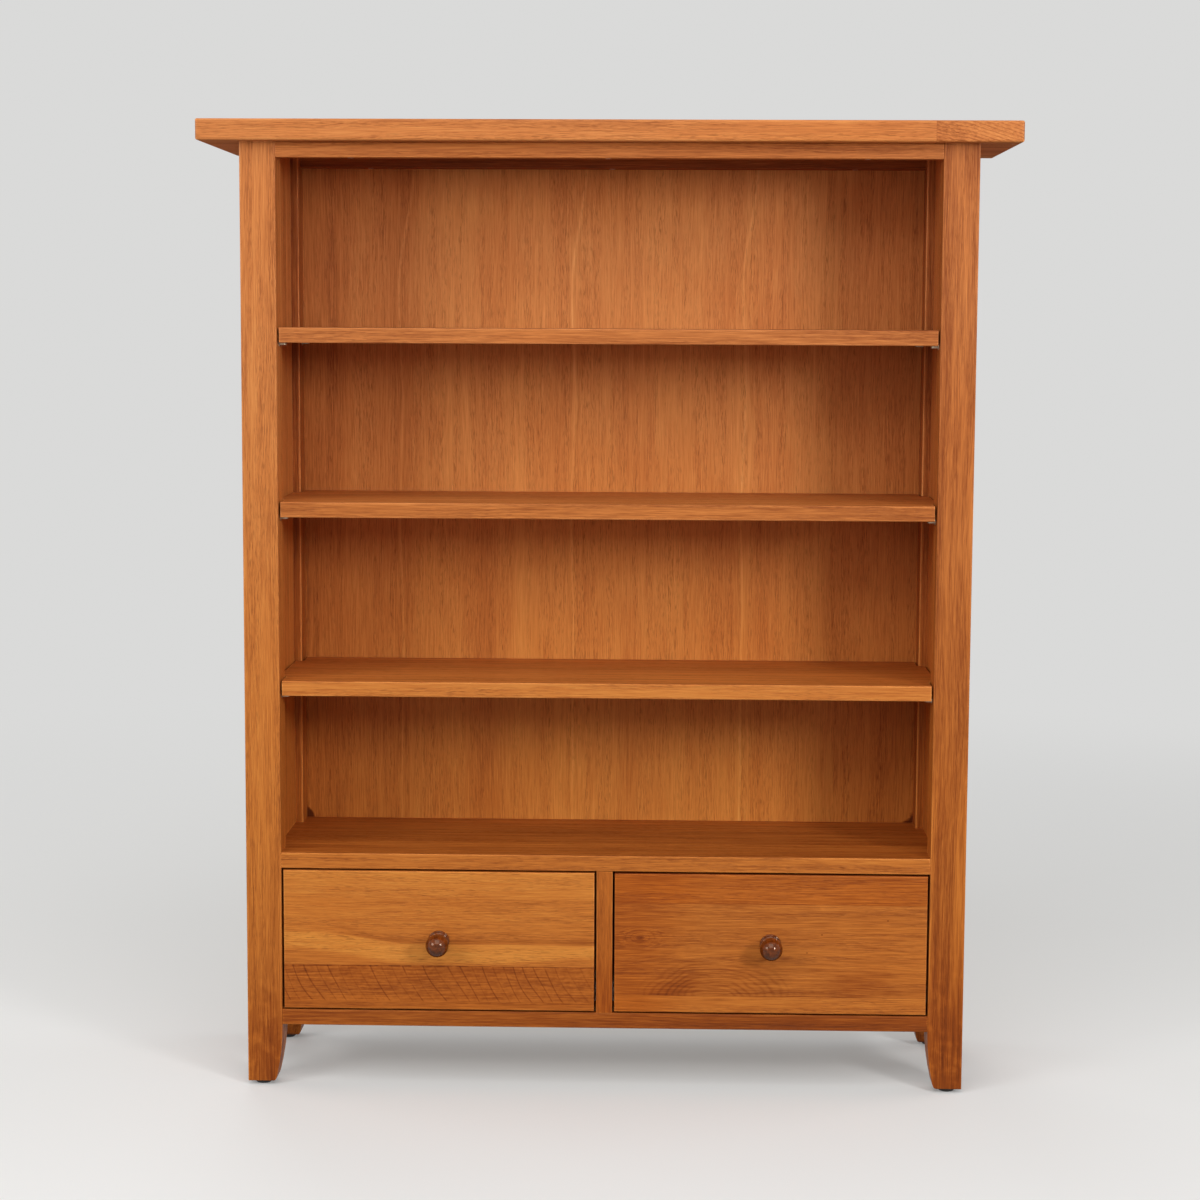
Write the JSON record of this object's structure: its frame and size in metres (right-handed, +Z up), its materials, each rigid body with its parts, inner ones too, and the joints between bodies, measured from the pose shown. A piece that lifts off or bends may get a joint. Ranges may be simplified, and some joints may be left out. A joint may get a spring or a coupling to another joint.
{
  "type": "bookcase",
  "caption": "Freestanding oak bookcase: open shelves between square tapered-foot posts under an overhanging top, with drawers on rollers below.",
  "frame": {"origin": "centre of the bounding box at floor level, between the four glides", "axes": "+X to the right seen from the front, +Y to the back, +Z up; the drawers open towards -Y"},
  "size_m": [1, 0.32, 1.205],
  "materials": {
    "oak": "satin oiled, orange-brown stain",
    "veneer": "satin, stained veneer",
    "pale_oak": "matt, sealed",
    "plywood": "matt",
    "turned_wood": "gloss lacquer, dark brown",
    "nickel": "nickel plated",
    "zinc": "zinc plated",
    "white_enamel": "epoxy coated, white",
    "nylon": "matt",
    "glide": "matt, dark"
  },
  "bodies": {
    "case": {"top_panel": "oak", "front_post_left": "oak", "front_post_right": "oak", "back_post_left": "oak", "back_post_right": "oak", "side_panel_left": "oak", "side_panel_right": "oak", "back_panel": "veneer", "bottom_panel": "plywood", "top_front_rail": "oak", "top_back_rail": "oak", "bottom_front_rail": "oak", "bottom_back_rail": "oak", "drawer_deck": "oak", "drawer_partition": "oak", "runner_batten_left": "pale_oak", "runner_batten_right": "pale_oak", "shelf_upper": "oak", "shelf_middle": "oak", "shelf_lower": "oak", "shelf_pins": "nickel", "glides": "glide", "top_screws": "zinc", "back_screws": "zinc", "cabinet_runner_screws": "zinc", "cabinet_runner_left_outer": "white_enamel", "cabinet_runner_left_inner": "white_enamel", "cabinet_runner_right_inner": "white_enamel", "cabinet_runner_right_outer": "white_enamel"},
    "drawer_left": {"drawer_left_front": "oak", "drawer_left_box_front": "pale_oak", "drawer_left_side_outer": "pale_oak", "drawer_left_side_inner": "pale_oak", "drawer_left_back": "pale_oak", "drawer_left_bottom": "plywood", "drawer_left_knob": "turned_wood", "drawer_left_knob_screw": "zinc", "drawer_left_screws": "zinc", "drawer_left_runner_outer": "white_enamel", "drawer_left_runner_inner": "white_enamel"},
    "drawer_right": {"drawer_right_front": "oak", "drawer_right_box_front": "pale_oak", "drawer_right_side_outer": "pale_oak", "drawer_right_side_inner": "pale_oak", "drawer_right_back": "pale_oak", "drawer_right_bottom": "plywood", "drawer_right_knob": "turned_wood", "drawer_right_knob_screw": "zinc", "drawer_right_screws": "zinc", "drawer_right_runner_outer": "white_enamel", "drawer_right_runner_inner": "white_enamel"},
    "cabinet_roller_left_outer": {"cabinet_roller_left_outer": "nylon"},
    "drawer_left_roller_outer": {"drawer_left_roller_outer": "nylon"},
    "cabinet_roller_left_inner": {"cabinet_roller_left_inner": "nylon"},
    "drawer_left_roller_inner": {"drawer_left_roller_inner": "nylon"},
    "cabinet_roller_right_outer": {"cabinet_roller_right_outer": "nylon"},
    "drawer_right_roller_outer": {"drawer_right_roller_outer": "nylon"},
    "cabinet_roller_right_inner": {"cabinet_roller_right_inner": "nylon"},
    "drawer_right_roller_inner": {"drawer_right_roller_inner": "nylon"}
  },
  "joints": [
    {"name": "drawer_left_slide", "type": "slide", "parent": "case", "child": "drawer_left", "axis": [0, -1, 0], "range_m": [0, 0.15]},
    {"name": "drawer_right_slide", "type": "slide", "parent": "case", "child": "drawer_right", "axis": [0, -1, 0], "range_m": [0, 0.15]},
    {"name": "cabinet_roller_left_outer_spin", "type": "hinge", "parent": "case", "child": "cabinet_roller_left_outer", "pos_m": [-0.40095, -0.087, 0.1182], "axis": [1, 0, 0], "range_deg": [0, 1012]},
    {"name": "drawer_left_roller_outer_spin", "type": "hinge", "parent": "drawer_left", "child": "drawer_left_roller_outer", "pos_m": [-0.39855, 0.088, 0.118], "axis": [1, 0, 0], "range_deg": [0, 1012]},
    {"name": "cabinet_roller_left_inner_spin", "type": "hinge", "parent": "case", "child": "cabinet_roller_left_inner", "pos_m": [-0.01505, -0.087, 0.1182], "axis": [1, 0, 0], "range_deg": [0, 1012]},
    {"name": "drawer_left_roller_inner_spin", "type": "hinge", "parent": "drawer_left", "child": "drawer_left_roller_inner", "pos_m": [-0.01745, 0.088, 0.118], "axis": [1, 0, 0], "range_deg": [0, 1012]},
    {"name": "cabinet_roller_right_outer_spin", "type": "hinge", "parent": "case", "child": "cabinet_roller_right_outer", "pos_m": [0.40095, -0.087, 0.1182], "axis": [1, 0, 0], "range_deg": [0, 1012]},
    {"name": "drawer_right_roller_outer_spin", "type": "hinge", "parent": "drawer_right", "child": "drawer_right_roller_outer", "pos_m": [0.39855, 0.088, 0.118], "axis": [1, 0, 0], "range_deg": [0, 1012]},
    {"name": "cabinet_roller_right_inner_spin", "type": "hinge", "parent": "case", "child": "cabinet_roller_right_inner", "pos_m": [0.01505, -0.087, 0.1182], "axis": [1, 0, 0], "range_deg": [0, 1012]},
    {"name": "drawer_right_roller_inner_spin", "type": "hinge", "parent": "drawer_right", "child": "drawer_right_roller_inner", "pos_m": [0.01745, 0.088, 0.118], "axis": [1, 0, 0], "range_deg": [0, 1012]}
  ],
  "couplings": [
    {"joint": "cabinet_roller_left_outer_spin", "follows": "drawer_left_slide", "rad_per_m": 117.65},
    {"joint": "drawer_left_roller_outer_spin", "follows": "drawer_left_slide", "rad_per_m": 117.65},
    {"joint": "cabinet_roller_left_inner_spin", "follows": "drawer_left_slide", "rad_per_m": 117.65},
    {"joint": "drawer_left_roller_inner_spin", "follows": "drawer_left_slide", "rad_per_m": 117.65},
    {"joint": "cabinet_roller_right_outer_spin", "follows": "drawer_right_slide", "rad_per_m": 117.65},
    {"joint": "drawer_right_roller_outer_spin", "follows": "drawer_right_slide", "rad_per_m": 117.65},
    {"joint": "cabinet_roller_right_inner_spin", "follows": "drawer_right_slide", "rad_per_m": 117.65},
    {"joint": "drawer_right_roller_inner_spin", "follows": "drawer_right_slide", "rad_per_m": 117.65}
  ]
}
